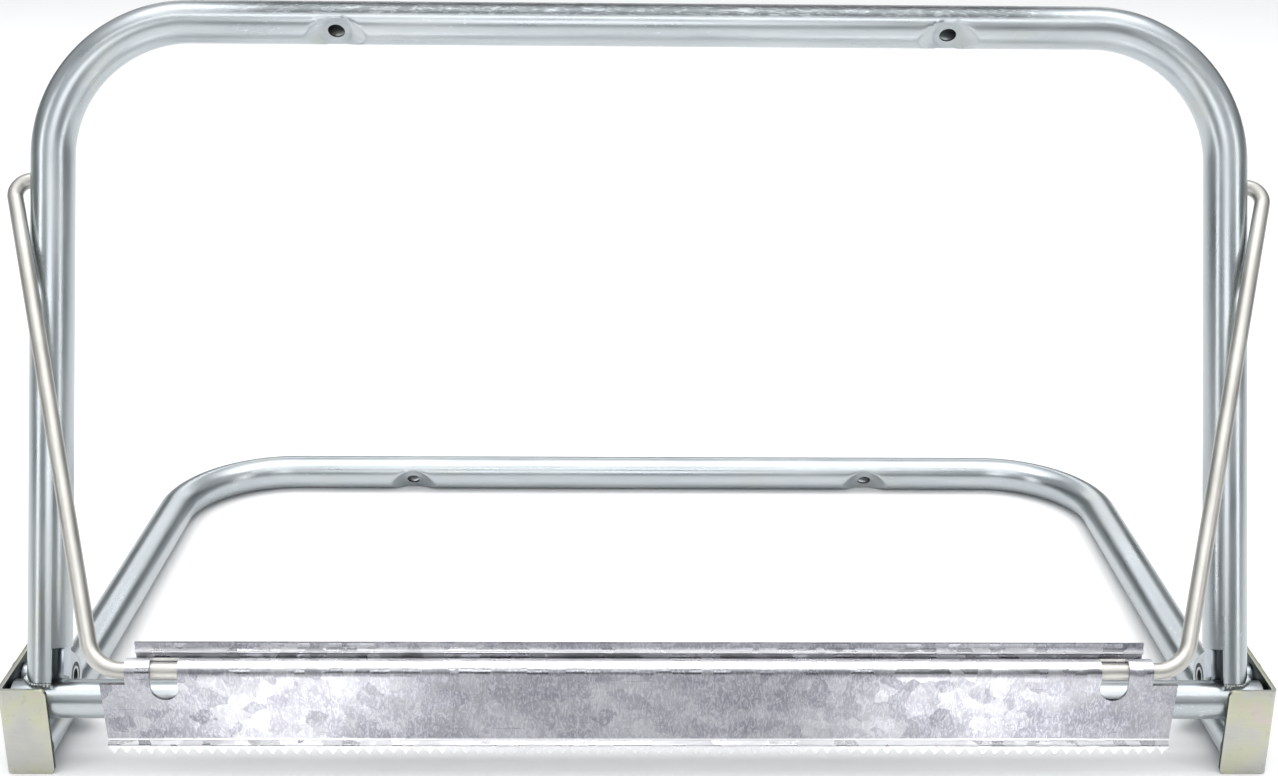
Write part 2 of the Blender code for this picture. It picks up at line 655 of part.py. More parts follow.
def corner_notches():
    """Blocks that free the rolled edge from the bends of the bail."""
    out = JAW_HALF + PAST
    high = 2 * BARREL_MID
    blocks = []
    for side in (-1, 1):
        corners = [(high, -high), (high, NOTCH_DEPTH), (BARREL_IN - PAST / 2, NOTCH_DEPTH),
                   (BARREL_IN - PAST / 2, BACK_TURN + PAST), (-high, BACK_TURN + PAST), (-high, -high)]
        flat = [on_jaw(side * BARREL_HALF, ahead, below) for ahead, below in corners]
        blocks.append(prism_bmesh(flat, (0, 0, 0), (side * (out - BARREL_HALF), 0, 0)))
    return blocks


def jaw_back_strip():
    """Beaded strip spot-welded behind the rolled edge; it shows above the roll."""
    back = -(BARREL_MID + JAW_SHEET / 2 + STRIP_GAP + STRIP_SHEET / 2)
    bead = STRIP_BEAD_RISE
    line = [(back, BACK_TURN), (back, -(bead - STRIP_BEAD_HALF)), (back + STRIP_BEAD, -bead),
            (back, -(bead + STRIP_BEAD_HALF)), (back, -STRIP_RISE)]
    add_object("jaw_back_strip", sheet_bmesh(line, STRIP_SHEET, STRIP_HALF), "galvanised", jaw_axis())


def build():
    clear_scene()
    rear_leg_frame()
    front_leg_frame()
    cross_tube()
    for side, suffix in ((-1, "left"), (1, "right")):
        end_bracket("end_bracket_" + suffix, side)
        hinge_lug("hinge_lug_" + suffix, side)
        pivot_pin("pivot_pin_" + suffix, side)
        pivot_rings(side, suffix)
        bracket_fasteners(side, suffix)
    bail_rod()
    toothed_jaw()
    jaw_back_strip()


MATERIALS = {
    "zinc_tube": material("zinc_tube", (0.62, 0.66, 0.70), 0.24, 1.0),
    "zinc_plate": material("zinc_plate", (0.56, 0.60, 0.64), 0.35, 1.0),
    "yellow_zinc": material("yellow_zinc", (0.62, 0.61, 0.50), 0.42, 1.0),
    "dark_steel": material("dark_steel", (0.45, 0.47, 0.48), 0.35, 1.0),
    "black_nylon": material("black_nylon", (0.02, 0.02, 0.02), 0.55, 0.0),
    "grey_rod": material("grey_rod", (0.55, 0.55, 0.53), 0.38, 1.0),
    "galvanised": material("galvanised", (0.66, 0.66, 0.70), 0.30, 1.0),
}
build()
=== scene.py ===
import json
from math import asin, cos, degrees, pi, radians, sin, sqrt, tan

import bmesh
import bpy
from mathutils import Matrix, Vector


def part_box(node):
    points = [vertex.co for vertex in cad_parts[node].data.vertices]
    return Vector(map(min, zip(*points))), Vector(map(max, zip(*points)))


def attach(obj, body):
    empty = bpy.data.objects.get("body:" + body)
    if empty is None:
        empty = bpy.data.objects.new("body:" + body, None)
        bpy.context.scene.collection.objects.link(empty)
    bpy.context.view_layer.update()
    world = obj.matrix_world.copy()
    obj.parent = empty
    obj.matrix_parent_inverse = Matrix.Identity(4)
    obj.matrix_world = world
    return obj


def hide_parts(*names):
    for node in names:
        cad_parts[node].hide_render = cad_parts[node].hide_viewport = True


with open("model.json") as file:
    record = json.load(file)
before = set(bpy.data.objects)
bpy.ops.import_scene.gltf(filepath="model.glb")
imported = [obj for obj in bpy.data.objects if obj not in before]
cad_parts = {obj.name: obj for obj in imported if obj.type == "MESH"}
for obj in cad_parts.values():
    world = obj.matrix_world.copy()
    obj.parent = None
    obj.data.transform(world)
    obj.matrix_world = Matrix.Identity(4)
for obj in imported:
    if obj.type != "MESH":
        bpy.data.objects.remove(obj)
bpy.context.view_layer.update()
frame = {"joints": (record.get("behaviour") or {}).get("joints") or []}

# ---- stock sizes, metres ----------------------------------------------------
TUBE_OUTER = 0.028
CROSS_TUBE_OUTER = 0.025
WALL = 0.0015
ROD = 0.010
PLATE = 0.003
JAW_SHEET = 0.002
STRIP_SHEET = 0.0015
FRAME_BEND = 0.088
BAIL_HOOK_BEND = 0.010
BAIL_BEND = 0.022
BAIL_OUTSIDE = 0.011          # bail's side rods' axes outside the front legs' surface
BAIL_PAST_JAW = 0.005         # bail's lower corners beyond the jaw's ends
HOOK_SPARE = 0.003            # clear between the hook's end and the leg's far wall
WELD_GAP = 0.0008             # a leg bead's middle off the cross tube, and off the lug
WELD_HALF_X = 0.0143          # half width of the ring that a leg bead follows
WELD_HALF_DEPTH = 0.0106
WELD_R = 0.0021
LUG_WELD_R = 0.0014
CROSSBAR_HOLE = 0.011
CROSSBAR_HOLE_X = 0.200
SEAT_DEPTH = 0.007            # pressed seat round a crossbar hole, below the tube's surface
SEAT_FLAT = 0.009             # half length of its flat
SEAT_REACH = 0.021            # and of the whole seat
SEAT_POINTS = 14              # close points along a seat, on each side of its hole
SEAT_POINT_STEP = 0.0016
DARK_TOP = (0.4585, 0.4605)   # heights between which the front crossbar's top turns darker
DARK_TOP_ENDS = (0.24, 0.33)  # distances from its middle over which the dark fades out
LEG_END = 0.0115              # front leg's lower end above the cross tube's axis
BAIL_BELOW_BAR = 0.105        # bail's pivot below the front crossbar, along the leg
LUG_INSET = 0.009
LUG_TOP = 0.033
LUG_FRONT = 0.001
LUG_EYE = 0.013
PIN_OUTER = 0.013
PIN_BORE = 0.009
PIN_HEAD_THICK = 0.0018
BUSH_OUTER = 0.0166
BOLT = 0.008
BOLT_HEAD = 0.013
THREAD_PITCH = 0.00125
FIT = 0.0004
JAW_HANG = radians(7.0)
JAW_LENGTH = 0.054
STEP_HEIGHT = 0.047
STEP = 0.0025
NOTCH_DEPTH = 0.005
BACK_TURN = 0.008
TOOTH_COUNT = 88
TOOTH_HEIGHT = 0.0046
TOOTH_ROOT_FLAT = 0.0012
WINDOW_INSET = 0.0225         # window's middle to the end of the roll
WINDOW_WIDTH = 0.0165
WINDOW_BOTTOM = 0.016
WINDOW_BACK = 0.0035          # behind the rod's axis, where the roll stays whole
PAINTED_HIGHLIGHT_HEIGHTS = (0.058, 0.128)  # heights that the jaw's painted highlight stripes lie between
STRIP_RISE = 0.0142
STRIP_BEAD = 0.0022
STRIP_BEAD_RISE = 0.0089
STRIP_BEAD_HALF = 0.0020
STRIP_GAP = 0.0003
ROLL_PAST_STRIP = 0.004       # at each end
WEB_CORNER = 0.004
FLANGE_CORNER = 0.012
BRACKET_BEND = 0.0045
TUBE_SIDES = 48
FACET = cos(pi / 16)          # the CAD tubes have 16 sides and touch their box with flats
ROD_SIDES = 28
ARC = 16                      # steps in a quarter turn
PAST = 0.002

# ---- places, from the frame -------------------------------------------------
TUBE_R = TUBE_OUTER / 2
CROSS_R = CROSS_TUBE_OUTER / 2
JOINT = {joint["name"]: Vector(joint["pos_m"]) for joint in frame["joints"]}
PIVOT = JOINT["fold"]
BAIL_AXIS = JOINT["bail_swing"]
JAW_AXIS = JOINT["jaw_turn"]


def middle_of(node):
    low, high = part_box(node)
    return (low + high) / 2


def reach_x(node):
    """Largest x of a node."""
    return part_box(node)[1].x


HINGE = middle_of("cross_tube")
CROSS_HALF = reach_x("cross_tube")
ALONG = (BAIL_AXIS - HINGE).normalized()                    # up the front legs
BEHIND = Vector((0, ALONG.z, -ALONG.y))                     # out of the front frame, rearwards
FRONT_LEG_X = reach_x("front_leg_frame") - FACET * TUBE_R
LUG_OUT_X = reach_x("hinge_lug_right")
LUG_IN_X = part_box("hinge_lug_right")[0].x
BAIL_ALONG = (BAIL_AXIS - HINGE).length
HINGE_LEG_X = LUG_OUT_X + TUBE_R - LUG_INSET
FRONT_REACH = BAIL_ALONG + BAIL_BELOW_BAR
REAR_LEG_X = reach_x("rear_leg_frame") - FACET * TUBE_R
FLANGE_IN_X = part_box("pivot_spacer_right")[1].x + FIT
FLANGE_OUT_X = reach_x("end_bracket_right")
BRACKET_LOW, BRACKET_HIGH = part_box("end_bracket_right")
WEB_OUT_Y = BRACKET_LOW.y
WEB_IN_Y = WEB_OUT_Y + PLATE
REAR_TUBE_Z = HINGE.z - CROSS_R - FIT - TUBE_R              # rear leg's axis at the hinge
REAR_BAR = Vector((0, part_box("rear_leg_frame")[1].y - FACET * TUBE_R, TUBE_R))
REAR_DOWN = Vector((0, REAR_BAR.y - HINGE.y, REAR_BAR.z - REAR_TUBE_Z)).normalized()
BISECTOR = (ALONG + Vector((0, 1, 0))).normalized()
BOLT_CENTRE = middle_of("bracket_washer_right")
HOOK_END_X = FRONT_LEG_X - TUBE_R + WALL + HOOK_SPARE
BAIL_SIDE_X = FRONT_LEG_X + TUBE_R + BAIL_OUTSIDE
JAW_HALF = reach_x("toothed_jaw")
STRIP_HALF = reach_x("jaw_back_strip")
ROLL_HALF = STRIP_HALF + ROLL_PAST_STRIP
BAIL_CORNER_X = JAW_HALF + BAIL_PAST_JAW
BARREL_IN = ROD / 2 + FIT
BARREL_MID = BARREL_IN + JAW_SHEET / 2


def on_front(x, along, behind=0.0):
    return HINGE + Vector((x, 0, 0)) + along * ALONG + behind * BEHIND


def on_rear(x, along):
    start = Vector((x, HINGE.y, REAR_TUBE_Z))
    return start + along * REAR_DOWN


def on_jaw(x, ahead, below):
    lean = Matrix.Rotation(JAW_HANG, 3, "X")
    return JAW_AXIS + lean @ Vector((x, -ahead, -below))


# ---- mesh tools -------------------------------------------------------------
def new_object(name, bm):
    bmesh.ops.recalc_face_normals(bm, faces=bm.faces)
    mesh = bpy.data.meshes.new(name)
    bm.to_mesh(mesh)
    bm.free()
    obj = bpy.data.objects.new(name, mesh)
    bpy.context.scene.collection.objects.link(obj)
    return obj


def settle(obj):
    """Apply the object's modifiers to its mesh."""
    view = bpy.context.evaluated_depsgraph_get()
    done = bpy.data.meshes.new_from_object(obj.evaluated_get(view))
    obj.modifiers.clear()
    obj.data = done


def carve(obj, cutters):
    """Take each cutter's shape out of obj."""
    for bm in cutters:
        cutter = new_object("cutter", bm)
        boolean = obj.modifiers.new("cut", "BOOLEAN")
        boolean.operation = "DIFFERENCE"
        boolean.solver = "EXACT"
        boolean.object = cutter
        settle(obj)
        bpy.data.objects.remove(cutter, do_unlink=True)


def soften(obj, width, angle=40):
    """Round an object's edges by a small width."""
    bevel = obj.modifiers.new("edge", "BEVEL")
    bevel.width = width
    bevel.segments = 2
    bevel.limit_method = "ANGLE"
    bevel.angle_limit = radians(angle)
    settle(obj)


def finish_piece(obj, look, body, node, smooth_angle=32):
    """Shade a piece, give it its look and put it on its body in its CAD node's place."""
    obj.data.shade_smooth()
    obj.data.set_sharp_from_angle(angle=radians(smooth_angle))
    obj.data.materials.clear()
    obj.data.materials.append(LOOKS[look])
    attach(obj, body)
    if node:
        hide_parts(node)


def filleted(points, radii, steps):
    """Polyline through points, its inner corners rounded with the given radii."""
    path = [Vector(points[0])]
    for before, corner, after, radius in zip(points, points[1:], points[2:], radii):
        to_before = (Vector(before) - corner).normalized()
        to_after = (Vector(after) - corner).normalized()
        half = to_before.angle(to_after) / 2
        centre = corner + (to_before + to_after).normalized() * radius / sin(half)
        first = corner + to_before * radius / tan(half) - centre
        last = corner + to_after * radius / tan(half) - centre
        axis = first.cross(last).normalized()
        for i in range(steps + 1):
            turn = Matrix.Rotation((pi - 2 * half) * i / steps, 3, axis)
            path.append(centre + turn @ first)
    path.append(Vector(points[-1]))
    return path


def with_seat_points(path):
    """The path with close points round the two crossbar holes."""
    dense = []
    for a, b in zip(path, path[1:]):
        dense.append(a)
        if abs(b.x - a.x) > 2 * CROSSBAR_HOLE_X and abs(b.y - a.y) < 0.01:
            for side in (-1, 1):
                for i in range(-SEAT_POINTS, SEAT_POINTS + 1):
                    x = side * CROSSBAR_HOLE_X + i * SEAT_POINT_STEP
                    dense.append(a.lerp(b, (x - a.x) / (b.x - a.x)))
    dense.append(path[-1])
    return dense


def round_grid(bm, path, radius, sides, uv):
    """A round skin along a path, with u round it and v along it, both in metres."""
    side = None
    rings, lengths = [], []
    length = 0
    for i, point in enumerate(path):
        came = (point - path[max(i - 1, 0)]).normalized()
        goes = (path[min(i + 1, len(path) - 1)] - point).normalized()
        tangent = (came + goes).normalized()
        side = side or Vector((0.31, 0.87, 0.38)).cross(tangent).normalized()
        side = (side - side.dot(tangent) * tangent).normalized()
        other = tangent.cross(side)
        ring = []
        for k in range(sides):
            angle = 2 * pi * k / sides
            ring.append(bm.verts.new(point + radius * (cos(angle) * side + sin(angle) * other)))
        rings.append(ring)
        length += (point - path[max(i - 1, 0)]).length
        lengths.append(length)
    round_step = 2 * pi * radius / sides
    for i in range(len(rings) - 1):
        for k in range(sides):
            n = (k + 1) % sides
            corners = [rings[i][k], rings[i][n], rings[i + 1][n], rings[i + 1][k]]
            places = [(k, i), (k + 1, i), (k + 1, i + 1), (k, i + 1)]
            face = bm.faces.new(corners)
            for loop, (turn, row) in zip(face.loops, places):
                loop[uv].uv = (turn * round_step, lengths[row])
    return rings


def bridge(bm, first, second):
    for k in range(len(first)):
        n = (k + 1) % len(first)
        bm.faces.new((first[k], first[n], second[n], second[k]))


def tube(name, path, outer, bore, sides=TUBE_SIDES, shape=None):
    """Round stock along a path. shape moves its points: shape(point, depth) gives the new place."""
    bm = bmesh.new()
    uv = bm.loops.layers.uv.new("stock")
    outside = round_grid(bm, path, outer / 2, sides, uv)
    if bore:
        inside = round_grid(bm, path, bore / 2, sides, uv)
        bridge(bm, outside[0], inside[0])
        bridge(bm, outside[-1], inside[-1])
    else:
        bm.faces.new(outside[0])
        bm.faces.new(outside[-1])
    if shape:
        for ring in outside:
            for vert in ring:
                vert.co = shape(vert.co, 0.0)
        for ring in inside:
            for vert in ring:
                vert.co = shape(vert.co, WALL)
    return new_object(name, bm)


def drill(start, end, diameter):
    bm = bmesh.new()
    uv = bm.loops.layers.uv.new("stock")
    rings = round_grid(bm, [Vector(start), Vector(end)], diameter / 2, 40, uv)
    bm.faces.new(rings[0])
    bm.faces.new(rings[-1])
    bmesh.ops.recalc_face_normals(bm, faces=bm.faces)
    return bm


def prism(outline, start, depth):
    bm = bmesh.new()
    near = [bm.verts.new(Vector(p) + Vector(start)) for p in outline]
    far = [bm.verts.new(v.co + Vector(depth)) for v in near]
    bm.faces.new(near)
    bm.faces.new(far)
    bridge(bm, near, far)
    bmesh.ops.recalc_face_normals(bm, faces=bm.faces)
    return bm


def arc(centre, radius, start, end, steps=ARC):
    turns = [radians(start + (end - start) * i / steps) for i in range(steps + 1)]
    return [(centre[0] + radius * cos(t), centre[1] + radius * sin(t)) for t in turns]


def turned(name, profile, centre, sides=48):
    """A body turned about X through centre; profile is (x, radius) all round."""
    bm = bmesh.new()
    loops = []
    for x, radius in profile:
        ring = []
        for k in range(sides):
            angle = 2 * pi * k / sides
            place = (x, centre.y + radius * cos(angle), centre.z + radius * sin(angle))
            ring.append(bm.verts.new(place))
        loops.append(ring)
    for a, b in zip(loops, loops[1:] + loops[:1]):
        bridge(bm, a, b)
    return new_object(name, bm)


def seat_shape(bar):
    """Presses a flat seat round both holes of the crossbar whose middle is bar."""
    def shape(point, depth):
        offset = point - bar
        across = offset.dot(BISECTOR.cross(Vector((1, 0, 0))))
        away = sqrt((abs(point.x) - CROSSBAR_HOLE_X) ** 2 + (0.9 * across) ** 2)
        if away > SEAT_REACH:
            return point
        share = max(0.0, (away - SEAT_FLAT) / (SEAT_REACH - SEAT_FLAT))
        share = share * share * (3 - 2 * share)
        limit = TUBE_R - SEAT_DEPTH * (1 - share) - depth
        proud = -offset.dot(BISECTOR) - limit
        if proud <= 0:
            return point
        return point + BISECTOR * proud * 0.9
    return shape


# ---- tube frames ------------------------------------------------------------
def crossbar_drills(bar):
    reach = (TUBE_R + PAST) * BISECTOR
    drills = []
    for side in (-1, 1):
        middle = bar + Vector((side * CROSSBAR_HOLE_X, 0, 0))
        drills.append(drill(middle - reach, middle + reach, CROSSBAR_HOLE))
    return drills


def front_leg_frame():
    corners = [on_front(-HINGE_LEG_X, LEG_END), on_front(-FRONT_LEG_X, FRONT_REACH),
               on_front(FRONT_LEG_X, FRONT_REACH), on_front(HINGE_LEG_X, LEG_END)]
    path = with_seat_points(filleted(corners, (FRAME_BEND, FRAME_BEND), 2 * ARC))
    bar = on_front(0, FRONT_REACH)
    obj = tube("front_tube_frame", path, TUBE_OUTER, TUBE_OUTER - 2 * WALL, shape=seat_shape(bar))
    cutters = [drill(HINGE - Vector((CROSS_HALF, 0, 0)), HINGE + Vector((CROSS_HALF, 0, 0)),
                     CROSS_TUBE_OUTER + 2 * FIT)]
    cutters += crossbar_drills(bar)
    for side in (-1, 1):
        outside = on_front(side * (FRONT_LEG_X + TUBE_R + PAST), BAIL_ALONG)
        inside = on_front(side * FRONT_LEG_X, BAIL_ALONG)
        cutters.append(drill(outside, inside, ROD + 2 * FIT))
        deep = TUBE_R + PAST
        outline = [on_front(0, -PAST, -deep), on_front(0, -PAST, deep),
                   on_front(0, LUG_TOP + FIT, deep), on_front(0, LUG_TOP + FIT, -deep)]
        inner = HINGE_LEG_X - TUBE_R - PAST
        cutters.append(prism(outline, (side * inner, 0, 0), (side * (LUG_OUT_X + FIT - inner), 0, 0)))
    carve(obj, cutters)
    finish_piece(obj, "zinc_tube", "front_frame", "front_leg_frame")


def rear_leg_frame():
    ends = (WEB_IN_Y + FIT - HINGE.y) / REAR_DOWN.y
    reach = (REAR_BAR.y - HINGE.y) / REAR_DOWN.y
    corners = [on_rear(-REAR_LEG_X, ends), on_rear(-REAR_LEG_X, reach),
               on_rear(REAR_LEG_X, reach), on_rear(REAR_LEG_X, ends)]
    path = with_seat_points(filleted(corners, (FRAME_BEND, FRAME_BEND), 2 * ARC))
    bar = on_rear(0, reach)
    obj = tube("rear_tube_frame", path, TUBE_OUTER, TUBE_OUTER - 2 * WALL, shape=seat_shape(bar))
    cutters = crossbar_drills(bar)
    for side in (-1, 1):
        half = Vector((TUBE_R + PAST, 0, 0))
        place = Vector((side * REAR_LEG_X, BOLT_CENTRE.y, BOLT_CENTRE.z))
        cutters.append(drill(place - half, place + half, BOLT + 2 * FIT))
    carve(obj, cutters)
    finish_piece(obj, "zinc_tube", "rear_frame", "rear_leg_frame")


def cross_tube():
    ends = [HINGE - Vector((CROSS_HALF, 0, 0)), HINGE + Vector((CROSS_HALF, 0, 0))]
    path = [ends[0].lerp(ends[1], i / 40) for i in range(41)]
    obj = tube("hinge_cross_tube", path, CROSS_TUBE_OUTER, CROSS_TUBE_OUTER - 2 * WALL)
    soften(obj, 0.0003)
    finish_piece(obj, "zinc_tube", "front_frame", "cross_tube")


def weld_bead(name, points, radius, body):
    """A rippled bead of weld along points."""
    bm = bmesh.new()
    uv = bm.loops.layers.uv.new("stock")
    rings = round_grid(bm, points, radius, 12, uv)
    for i, ring in enumerate(rings):
        swell = 1 + 0.16 * sin(i * 2.1) + 0.06 * sin(i * 5.3)
        for vert in ring:
            vert.co = points[i] + (vert.co - points[i]) * swell
    bm.faces.new(rings[0])
    bm.faces.new(rings[-1])
    obj = new_object(name, bm)
    finish_piece(obj, "zinc_plate", body, None, 60)
    obj.data.materials.clear()
    obj.data.materials.append(LOOKS["weld"])


def leg_welds():
    """Beads between each front leg and the cross tube, and beside each lug."""
    for side, word in ((-1, "left"), (1, "right")):
        points = []
        steps = 90
        for i in range(steps + 1):
            turn = radians(-115 + 230 * i / steps)
            behind = -WELD_HALF_DEPTH * sin(turn)
            x = side * (HINGE_LEG_X + WELD_HALF_X * cos(turn))
            if abs(x) < LUG_OUT_X + WELD_GAP:
                continue
            along = max(sqrt((CROSS_R + WELD_GAP) ** 2 - behind ** 2), LEG_END - 0.0015)
            points.append(on_front(x, along, behind))
        weld_bead("leg_weld_" + word, points, WELD_R, "front_frame")
        points = []
        for i in range(41):
            turn = radians(-4 + 84 * i / 40)
            radius = CROSS_R + 0.0005
            points.append(on_front(side * (LUG_IN_X - 0.0004), radius * cos(turn), radius * sin(turn)))
        weld_bead("lug_weld_" + word, points, LUG_WELD_R, "front_frame")


# ---- hinge ------------------------------------------------------------------
def hinge_lug(word, side):
    along = (PIVOT - HINGE).dot(ALONG)
    behind = (PIVOT - HINGE).dot(BEHIND)
    cope = CROSS_R + FIT
    edge = arc((0, 0), cope, 90 + degrees(asin(LUG_FRONT / cope)), 4)
    edge += arc((behind, along), LUG_EYE, -90, 60, 2 * ARC)
    edge += arc((LUG_EYE - 0.004, LUG_TOP - 0.004), 0.004, 10, 90, 6)
    edge += [(-LUG_FRONT, LUG_TOP)]
    outline = [on_front(0, a, b) for b, a in edge]
    obj = new_object("lug_" + word, prism(outline, (side * LUG_IN_X, 0, 0),
                                          (side * (LUG_OUT_X - LUG_IN_X), 0, 0)))
    near = Vector((side * (LUG_IN_X - PAST), PIVOT.y, PIVOT.z))
    far = Vector((side * (LUG_OUT_X + PAST), PIVOT.y, PIVOT.z))
    carve(obj, [drill(near, far, BUSH_OUTER + 2 * FIT)])
    soften(obj, 0.0005)
    finish_piece(obj, "zinc_plate", "front_frame", "hinge_lug_" + word)


def bracket_stations():
    """Stations round the bracket's L, as (outer x, y, inner x, y, lower z, upper z)."""
    free_x = BRACKET_LOW.x
    top = BRACKET_HIGH.z
    end = BRACKET_HIGH.y
    stations = []
    for x_step, z_step in arc((0, 0), WEB_CORNER, 180, 90, 8):
        x = free_x + WEB_CORNER + x_step
        rise = WEB_CORNER - z_step
        stations.append((x, WEB_OUT_Y, x, WEB_IN_Y, rise, top - rise))
    centre = (FLANGE_OUT_X - BRACKET_BEND, WEB_OUT_Y + BRACKET_BEND)
    outer = arc(centre, BRACKET_BEND, -90, 0, 10)
    inner = arc(centre, BRACKET_BEND - PLATE, -90, 0, 10)
    stations += [(*far, *near, 0, top) for far, near in zip(outer, inner)]
    for y_step, z_step in arc((0, 0), FLANGE_CORNER, 90, 0, 12):
        y = end - FLANGE_CORNER + y_step
        rise = FLANGE_CORNER - z_step
        stations.append((FLANGE_OUT_X, y, FLANGE_OUT_X - PLATE, y, rise / 3, top - rise))
    return stations


def end_bracket(word, side):
    bm = bmesh.new()
    loops = []
    for far_x, far_y, near_x, near_y, low, high in bracket_stations():
        corners = [(side * far_x, far_y, low), (side * far_x, far_y, high),
                   (side * near_x, near_y, high), (side * near_x, near_y, low)]
        loops.append([bm.verts.new(place) for place in corners])
    for a, b in zip(loops, loops[1:]):
        bridge(bm, a, b)
    bm.faces.new(loops[0])
    bm.faces.new(loops[-1])
    obj = new_object("bracket_" + word, bm)
    cutters = []
    for place, diameter in ((PIVOT, PIN_OUTER), (BOLT_CENTRE, BOLT)):
        near = Vector((side * (FLANGE_IN_X - PAST), place.y, place.z))
        far = Vector((side * (FLANGE_OUT_X + PAST), place.y, place.z))
        cutters.append(drill(near, far, diameter + 2 * FIT))
    carve(obj, cutters)
    soften(obj, 0.0005)
    finish_piece(obj, "yellow_zinc", "rear_frame", "end_bracket_" + word)


def pivot_parts(word, side):
    """Pin, bush, spacer and washer of one pivot, each with broken edges."""
    ease = 0.0004
    low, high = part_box("pivot_pin_" + word)
    far = max(abs(low.x), abs(high.x))
    near = min(abs(low.x), abs(high.x))
    head = (high.z - low.z) / 2
    head_in = far - PIN_HEAD_THICK
    shank, bore = PIN_OUTER / 2, PIN_BORE / 2
    profile = [(near, bore + ease), (near, shank - ease), (near + ease, shank), (head_in, shank),
               (head_in, head - ease), (head_in + ease, head)]
    profile += [(head_in + x, r) for r, x in arc((head - 0.0008, 0.0008), 0.0008, 0, 90, 6)]
    profile += [(far - 0.0002, bore + 2 * ease), (far - 3 * ease, bore), (near + ease, bore)]
    pin = turned("pin_" + word, [(side * x, r) for x, r in profile], PIVOT)
    finish_piece(pin, "dark_steel", "rear_frame", "pivot_pin_" + word)
    hole = PIN_OUTER / 2 + FIT
    rings = (("bush", "black_nylon", "front_frame"), ("spacer", "zinc_plate", "rear_frame"),
             ("washer", "zinc_plate", "rear_frame"))
    for kind, look, body in rings:
        low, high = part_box(f"pivot_{kind}_{word}")
        near, far = sorted((abs(low.x), abs(high.x)))
        rim = (high.z - low.z) / 2
        ring = ring_profile(near, far, hole, rim)
        obj = turned(f"{kind}_{word}", [(side * x, r) for x, r in ring], PIVOT)
        finish_piece(obj, look, body, f"pivot_{kind}_{word}")


def ring_profile(near, far, hole, rim, ease=0.0003):
    return [(near, hole + ease), (near, rim - ease), (near + ease, rim), (far - ease, rim),
            (far, rim - ease), (far, hole + ease), (far - ease, hole), (near + ease, hole)]


def hex_solid(name, near, far, flats, chamfer_near, chamfer_far, hole, side):
    """Hexagon across X with rounded-off corners at the chosen faces, and a hole if asked."""
    bm = bmesh.new()
    steps = 48
    crown = flats / 2 * 0.97

    def ring(x, radius_of):
        verts = []
        for k in range(steps):
            angle = 2 * pi * k / steps
            radius, shift = radius_of(angle)
            verts.append(bm.verts.new((side * (x + shift), BOLT_CENTRE.y + radius * cos(angle),
                                       BOLT_CENTRE.z + radius * sin(angle))))
        return verts

    def corner(angle):
        off = (angle % (pi / 3)) - pi / 6
        return flats / 2 / cos(off)

    def edge(sign, on):
        def place(angle):
            radius = corner(angle)
            return radius, sign * (radius - crown) * 0.55 if on else 0.0
        return place

    def plain(radius):
        return lambda angle: (radius, 0.0)

    loops = []
    if hole:
        loops.append(ring(near, plain(hole)))
    loops.append(ring(near, plain(crown)))
    loops.append(ring(near, edge(1, chamfer_near)))
    loops.append(ring(far, edge(-1, chamfer_far)))
    loops.append(ring(far, plain(crown)))
    if hole:
        loops.append(ring(far, plain(hole)))
        for a, b in zip(loops, loops[1:] + loops[:1]):
            bridge(bm, a, b)
    else:
        for a, b in zip(loops, loops[1:]):
            bridge(bm, a, b)
        bm.faces.new(loops[0])
        bm.faces.new(loops[-1])
    return new_object(name, bm)


def bracket_fasteners(word, side):
    low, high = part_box("bracket_bolt_" + word)
    near, far = sorted((abs(low.x), abs(high.x)))
    head_in = FLANGE_OUT_X + FIT
    head = hex_solid("bolt_head_" + word, head_in, far, BOLT_HEAD, False, True, None, side)
    finish_piece(head, "zinc_plate", "rear_frame", "bracket_bolt_" + word, 25)
    shank = BOLT / 2
    profile = [(head_in + FIT, 0.0008), (head_in + FIT, shank), (REAR_LEG_X, shank)]
    ridge = REAR_LEG_X
    while ridge > near + THREAD_PITCH:
        profile += [(ridge - THREAD_PITCH / 2, shank - 0.0006), (ridge - THREAD_PITCH, shank)]
        ridge -= THREAD_PITCH
    profile += [(near, shank - 0.0008), (near, 0.0008)]
    stem = turned("bolt_stem_" + word, [(side * x, r) for x, r in profile], BOLT_CENTRE, 32)
    finish_piece(stem, "zinc_plate", "rear_frame", None)
    low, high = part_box("bracket_nut_" + word)
    near, far = sorted((abs(low.x), abs(high.x)))
    nut = hex_solid("nut_" + word, near, far, BOLT_HEAD, True, True, BOLT / 2 + FIT, side)
    finish_piece(nut, "zinc_plate", "rear_frame", "bracket_nut_" + word, 25)
    low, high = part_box("bracket_washer_" + word)
    near, far = sorted((abs(low.x), abs(high.x)))
    ring = ring_profile(near, far, BOLT / 2 + FIT, BOLT)
    washer = turned("flat_washer_" + word, [(side * x, r) for x, r in ring], BOLT_CENTRE)
    finish_piece(washer, "zinc_plate", "rear_frame", "bracket_washer_" + word)


# ---- bail and jaw -----------------------------------------------------------
def bail_rod():
    left, right = Vector((-1, 0, 0)), Vector((1, 0, 0))
    corners = [BAIL_AXIS + HOOK_END_X * left, BAIL_AXIS + BAIL_SIDE_X * left,
               JAW_AXIS + BAIL_CORNER_X * left, JAW_AXIS + BAIL_CORNER_X * right,
               BAIL_AXIS + BAIL_SIDE_X * right, BAIL_AXIS + HOOK_END_X * right]
    path = filleted(corners, (BAIL_HOOK_BEND, BAIL_BEND, BAIL_BEND, BAIL_HOOK_BEND), ARC)
    obj = tube("bail_round_rod", path, ROD, None, ROD_SIDES)
    soften(obj, 0.0006, 60)
    finish_piece(obj, "grey_rod", "bail", "bail_rod")


